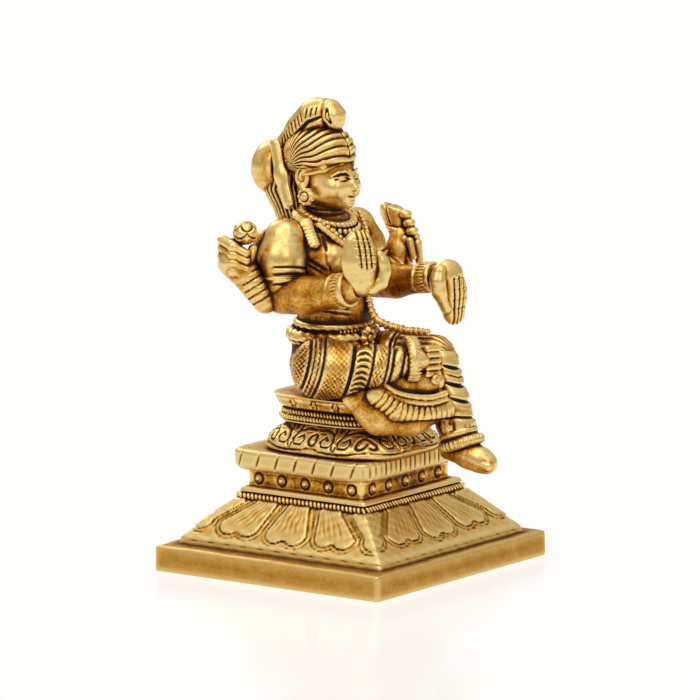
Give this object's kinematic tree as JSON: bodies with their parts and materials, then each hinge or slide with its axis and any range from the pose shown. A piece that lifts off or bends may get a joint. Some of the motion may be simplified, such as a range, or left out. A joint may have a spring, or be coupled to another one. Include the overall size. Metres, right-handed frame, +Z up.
{
  "type": "seated deity figurine",
  "caption": "Small cast brass figure of a four-armed deity seated at ease on a stepped square lotus pedestal, one leg folded on the seat and one hanging.",
  "frame": {"origin": "middle of the plinth's flat underside", "axes": "+Z up; the figure faces -Y and its right hand side is on -X"},
  "size_m": [0.048, 0.0471, 0.0759],
  "materials": {
    "pedestal_brass": "satin cast brass with dark antique lacquer in the recesses",
    "figure_brass": "buffed antique brass, bright on the high places, dark in the cuts"
  },
  "bodies": {
    "root": {"plinth_slab": "pedestal_brass", "lotus_skirt": "pedestal_brass", "rope_moulding": "pedestal_brass", "bossed_frieze": "pedestal_brass", "fluted_cornice": "pedestal_brass", "lotus_cushion": "pedestal_brass", "rope_ring": "pedestal_brass", "seat_slab": "pedestal_brass", "torso": "figure_brass", "right_leg": "figure_brass", "left_thigh": "figure_brass", "left_shin": "figure_brass", "left_foot": "figure_brass", "left_anklet": "figure_brass", "right_anklet": "figure_brass", "right_foot": "figure_brass", "cloth_fan": "figure_brass", "seat_bolster": "figure_brass", "waist_belt": "figure_brass", "belt_clasp": "figure_brass", "right_upper_arm": "figure_brass", "left_upper_arm": "figure_brass", "right_forearm": "figure_brass", "left_forearm": "figure_brass", "right_bangle": "figure_brass", "left_bangle": "figure_brass", "right_palm": "figure_brass", "left_palm": "figure_brass", "right_rear_upper_arm": "figure_brass", "left_rear_upper_arm": "figure_brass", "right_rear_forearm": "figure_brass", "left_rear_forearm": "figure_brass", "right_armlet": "figure_brass", "left_armlet": "figure_brass", "right_rear_hand": "figure_brass", "left_rear_hand": "figure_brass", "right_emblem": "figure_brass", "left_emblem": "figure_brass", "head": "figure_brass", "crown_band": "figure_brass", "crown_crest": "figure_brass", "hair_cap": "figure_brass", "hair_fall": "figure_brass", "hair_bun": "figure_brass", "right_ribbon": "figure_brass", "left_ribbon": "figure_brass", "right_earring": "figure_brass", "left_earring": "figure_brass", "collar": "figure_brass", "right_lappet": "figure_brass", "left_lappet": "figure_brass", "bead_necklace": "figure_brass", "garland": "figure_brass"}
  },
  "joints": []
}
